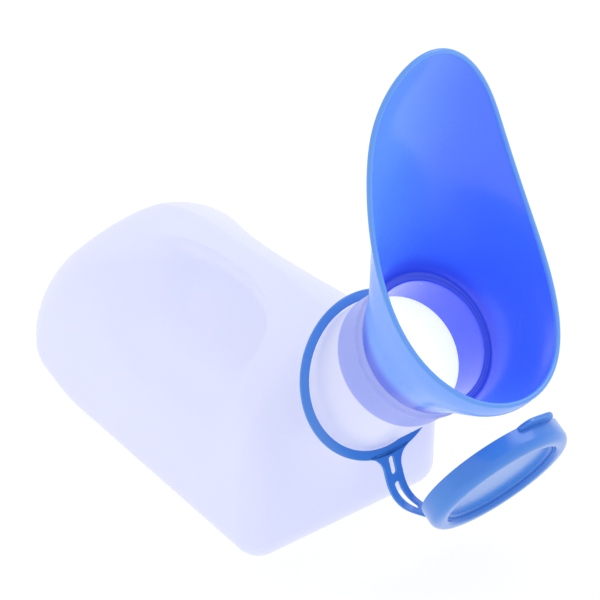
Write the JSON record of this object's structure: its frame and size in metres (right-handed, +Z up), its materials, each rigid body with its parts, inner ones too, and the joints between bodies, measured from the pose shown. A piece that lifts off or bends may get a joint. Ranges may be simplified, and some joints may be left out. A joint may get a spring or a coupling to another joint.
{
  "type": "urine bottle",
  "caption": "Portable urine bottle: translucent block body with finger recesses, slanted neck, push-in scoop adapter and a snap cap on a ring strap.",
  "frame": {"origin": "middle of the body's footprint, on the floor", "axes": "+Z up, +X from the rounded grip end towards the neck, +Y to the far side; the neck points along +X+Z at 45 degrees"},
  "size_m": [0.2965, 0.1169, 0.2447],
  "materials": {
    "body_translucent": "natural translucent polyethylene, satin",
    "adapter_blue": "smooth blue polyethylene",
    "tether_blue": "smooth blue polyethylene"
  },
  "bodies": {
    "bottle": {"bottle": "body_translucent"},
    "adapter": {"adapter": "adapter_blue"},
    "tether_ring": {"tether_ring": "tether_blue"},
    "tether_link": {"tether_link": "tether_blue"},
    "cap": {"cap": "tether_blue"}
  },
  "joints": [
    {"name": "adapter_pull", "type": "slide", "parent": "bottle", "child": "adapter", "axis": [0.7071, 0, 0.7071], "range_m": [0, 0.04]},
    {"name": "ring_turn", "type": "hinge", "parent": "bottle", "child": "tether_ring", "pos_m": [0.1425, 0, 0.1205], "axis": [0.7071, 0, 0.7071], "range_deg": [-45, 45]},
    {"name": "strap_bend", "type": "hinge", "parent": "tether_ring", "child": "tether_link", "pos_m": [0.12704, 0, 0.04225], "axis": [0, 1, 0], "range_deg": [-10, 15], "stiffness_Nm_per_rad": 0.1},
    {"name": "cap_fold", "type": "hinge", "parent": "tether_link", "child": "cap", "pos_m": [0.1374, 0.0089, 0.0292], "axis": [-0.3118, 0.7656, -0.5627], "range_deg": [-15, 40], "stiffness_Nm_per_rad": 0.1}
  ]
}
